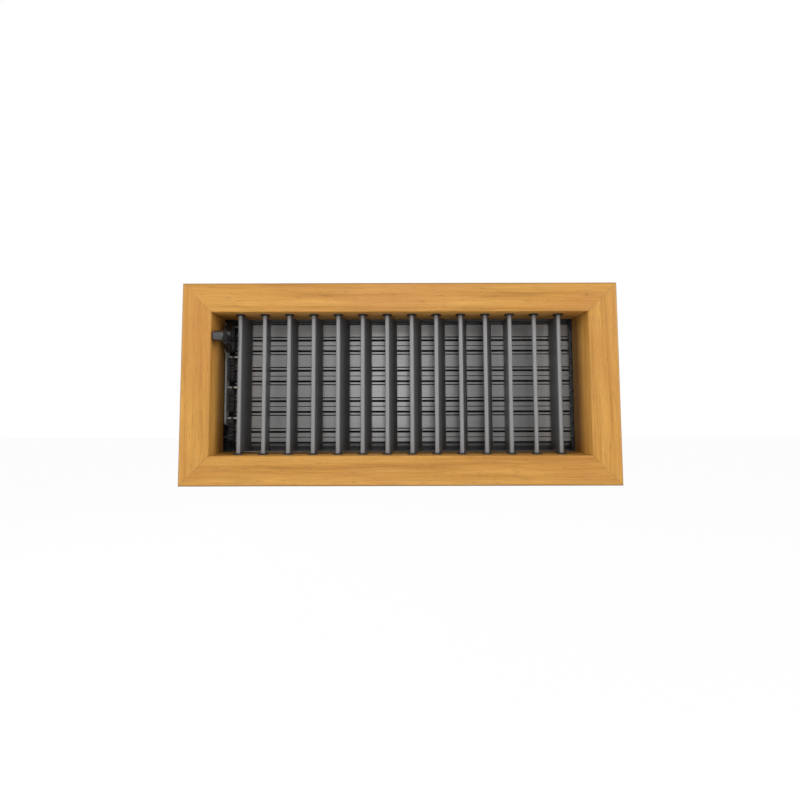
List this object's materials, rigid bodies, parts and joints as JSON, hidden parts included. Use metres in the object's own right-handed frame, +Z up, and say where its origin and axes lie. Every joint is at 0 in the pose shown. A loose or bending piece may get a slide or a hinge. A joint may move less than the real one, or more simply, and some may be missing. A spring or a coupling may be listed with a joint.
{
  "type": "adjustable vent grille",
  "caption": "Wooden-framed air supply grille with hand-set upright vanes and a lever-worked opposed-blade damper behind them.",
  "frame": {"origin": "middle of the opening, in the plane of the flange's back, which lies on the wall", "axes": "+Z up, the front faces -Y, +X to the viewer's right"},
  "size_m": [0.347, 0.0587, 0.1606],
  "materials": {
    "frame_wood": "oiled, satin",
    "black_plastic": "moulded",
    "vane_metal": "dark grey, satin",
    "blade_metal": "grey, satin",
    "black_sheet": "matt black",
    "strip_metal": "mill",
    "steel": "plated"
  },
  "bodies": {
    "grille_frame": {"frame_top_rail": "frame_wood", "frame_bottom_rail": "frame_wood", "frame_left_stile": "frame_wood", "frame_right_stile": "frame_wood", "damper_left_side": "black_sheet", "damper_right_side": "black_sheet", "damper_top_channel": "black_sheet", "damper_bottom_channel": "black_sheet", "damper_left_strip": "black_sheet", "damper_right_strip": "black_sheet", "upper_vane_bushes": "black_plastic", "lower_vane_bushes": "black_plastic", "damper_screws": "steel"},
    "vane_01_body": {"vane_01": "vane_metal"},
    "vane_02_body": {"vane_02": "vane_metal"},
    "vane_03_body": {"vane_03": "vane_metal"},
    "vane_04_body": {"vane_04": "vane_metal"},
    "vane_05_body": {"vane_05": "vane_metal"},
    "vane_06_body": {"vane_06": "vane_metal"},
    "vane_07_body": {"vane_07": "vane_metal"},
    "vane_08_body": {"vane_08": "vane_metal"},
    "vane_09_body": {"vane_09": "vane_metal"},
    "vane_10_body": {"vane_10": "vane_metal"},
    "vane_11_body": {"vane_11": "vane_metal"},
    "vane_12_body": {"vane_12": "vane_metal"},
    "vane_13_body": {"vane_13": "vane_metal"},
    "vane_14_body": {"vane_14": "vane_metal"},
    "blade_1_body": {"damper_blade_1": "blade_metal", "damper_left_cap_1": "black_plastic", "right_pivot_1": "steel", "crank_pin_1": "steel"},
    "blade_2_body": {"damper_blade_2": "blade_metal", "damper_left_cap_2": "black_plastic", "right_pivot_2": "steel"},
    "blade_3_body": {"damper_blade_3": "blade_metal", "damper_left_cap_3": "black_plastic", "right_pivot_3": "steel", "crank_pin_3": "steel"},
    "blade_4_body": {"damper_blade_4": "blade_metal", "damper_left_cap_4": "black_plastic", "right_pivot_4": "steel"},
    "blade_5_body": {"damper_blade_5": "blade_metal", "damper_left_cap_5": "black_plastic", "right_pivot_5": "steel", "crank_pin_5": "steel"},
    "blade_6_body": {"damper_blade_6": "blade_metal", "damper_left_cap_6": "black_plastic", "right_pivot_6": "steel"},
    "blade_7_body": {"damper_blade_7": "blade_metal", "damper_left_cap_7": "black_plastic", "right_pivot_7": "steel", "crank_pin_7": "steel"},
    "blade_8_body": {"damper_blade_8": "blade_metal", "damper_left_cap_8": "black_plastic", "right_pivot_8": "steel"},
    "link_body": {"damper_link_strip": "strip_metal", "damper_lever": "black_plastic"}
  },
  "joints": [
    {"name": "vane_01_turn", "type": "hinge", "parent": "grille_frame", "child": "vane_01_body", "pos_m": [-0.13, 0, 0], "axis": [0, 0, -1], "range_deg": [-36.5, 13.5]},
    {"name": "vane_02_turn", "type": "hinge", "parent": "grille_frame", "child": "vane_02_body", "pos_m": [-0.11, 0, 0], "axis": [0, 0, -1], "range_deg": [-24, 26]},
    {"name": "vane_03_turn", "type": "hinge", "parent": "grille_frame", "child": "vane_03_body", "pos_m": [-0.09, 0, 0], "axis": [0, 0, -1], "range_deg": [-34, 16]},
    {"name": "vane_04_turn", "type": "hinge", "parent": "grille_frame", "child": "vane_04_body", "pos_m": [-0.07, 0, 0], "axis": [0, 0, -1], "range_deg": [-37.5, 12.5]},
    {"name": "vane_05_turn", "type": "hinge", "parent": "grille_frame", "child": "vane_05_body", "pos_m": [-0.05, 0, 0], "axis": [0, 0, -1], "range_deg": [-45.5, 4.5]},
    {"name": "vane_06_turn", "type": "hinge", "parent": "grille_frame", "child": "vane_06_body", "pos_m": [-0.03, 0, 0], "axis": [0, 0, -1], "range_deg": [-42, 8]},
    {"name": "vane_07_turn", "type": "hinge", "parent": "grille_frame", "child": "vane_07_body", "pos_m": [-0.01, 0, 0], "axis": [0, 0, -1], "range_deg": [-46.5, 3.5]},
    {"name": "vane_08_turn", "type": "hinge", "parent": "grille_frame", "child": "vane_08_body", "pos_m": [0.01, 0, 0], "axis": [0, 0, -1], "range_deg": [-49, 1]},
    {"name": "vane_09_turn", "type": "hinge", "parent": "grille_frame", "child": "vane_09_body", "pos_m": [0.03, 0, 0], "axis": [0, 0, -1], "range_deg": [-49.5, 0.5]},
    {"name": "vane_10_turn", "type": "hinge", "parent": "grille_frame", "child": "vane_10_body", "pos_m": [0.05, 0, 0], "axis": [0, 0, -1], "range_deg": [-45, 5]},
    {"name": "vane_11_turn", "type": "hinge", "parent": "grille_frame", "child": "vane_11_body", "pos_m": [0.07, 0, 0], "axis": [0, 0, -1], "range_deg": [-48, 2]},
    {"name": "vane_12_turn", "type": "hinge", "parent": "grille_frame", "child": "vane_12_body", "pos_m": [0.09, 0, 0], "axis": [0, 0, -1], "range_deg": [-26, 24]},
    {"name": "vane_13_turn", "type": "hinge", "parent": "grille_frame", "child": "vane_13_body", "pos_m": [0.11, 0, 0], "axis": [0, 0, -1], "range_deg": [-41, 9]},
    {"name": "vane_14_turn", "type": "hinge", "parent": "grille_frame", "child": "vane_14_body", "pos_m": [0.13, 0, 0], "axis": [0, 0, -1], "range_deg": [-23.5, 26.5]},
    {"name": "damper_blade_1_turn", "type": "hinge", "parent": "grille_frame", "child": "blade_1_body", "pos_m": [0, 0.034, 0.04777], "axis": [1, 0, 0], "range_deg": [0, 80]},
    {"name": "damper_blade_2_turn", "type": "hinge", "parent": "grille_frame", "child": "blade_2_body", "pos_m": [0, 0.034, 0.03453], "axis": [1, 0, 0], "range_deg": [-80, 0]},
    {"name": "damper_blade_3_turn", "type": "hinge", "parent": "grille_frame", "child": "blade_3_body", "pos_m": [0, 0.034, 0.02127], "axis": [1, 0, 0], "range_deg": [0, 80]},
    {"name": "damper_blade_4_turn", "type": "hinge", "parent": "grille_frame", "child": "blade_4_body", "pos_m": [0, 0.034, 0.00802], "axis": [1, 0, 0], "range_deg": [-80, 0]},
    {"name": "damper_blade_5_turn", "type": "hinge", "parent": "grille_frame", "child": "blade_5_body", "pos_m": [0, 0.034, -0.00522], "axis": [1, 0, 0], "range_deg": [0, 80]},
    {"name": "damper_blade_6_turn", "type": "hinge", "parent": "grille_frame", "child": "blade_6_body", "pos_m": [0, 0.034, -0.01847], "axis": [1, 0, 0], "range_deg": [-80, 0]},
    {"name": "damper_blade_7_turn", "type": "hinge", "parent": "grille_frame", "child": "blade_7_body", "pos_m": [0, 0.034, -0.03173], "axis": [1, 0, 0], "range_deg": [0, 80]},
    {"name": "damper_blade_8_turn", "type": "hinge", "parent": "grille_frame", "child": "blade_8_body", "pos_m": [0, 0.034, -0.04498], "axis": [1, 0, 0], "range_deg": [-80, 0]},
    {"name": "damper_link_swing", "type": "hinge", "parent": "blade_1_body", "child": "link_body", "pos_m": [-0.148, 0.02909, 0.05122], "axis": [1, 0, 0], "range_deg": [-80, 0]}
  ],
  "couplings": [
    {"joint": "damper_blade_2_turn", "follows": "damper_blade_1_turn", "ratio": -1},
    {"joint": "damper_blade_3_turn", "follows": "damper_blade_1_turn", "ratio": 1},
    {"joint": "damper_blade_4_turn", "follows": "damper_blade_1_turn", "ratio": -1},
    {"joint": "damper_blade_5_turn", "follows": "damper_blade_1_turn", "ratio": 1},
    {"joint": "damper_blade_6_turn", "follows": "damper_blade_1_turn", "ratio": -1},
    {"joint": "damper_blade_7_turn", "follows": "damper_blade_1_turn", "ratio": 1},
    {"joint": "damper_blade_8_turn", "follows": "damper_blade_1_turn", "ratio": -1},
    {"joint": "damper_link_swing", "follows": "damper_blade_1_turn", "ratio": -1}
  ]
}
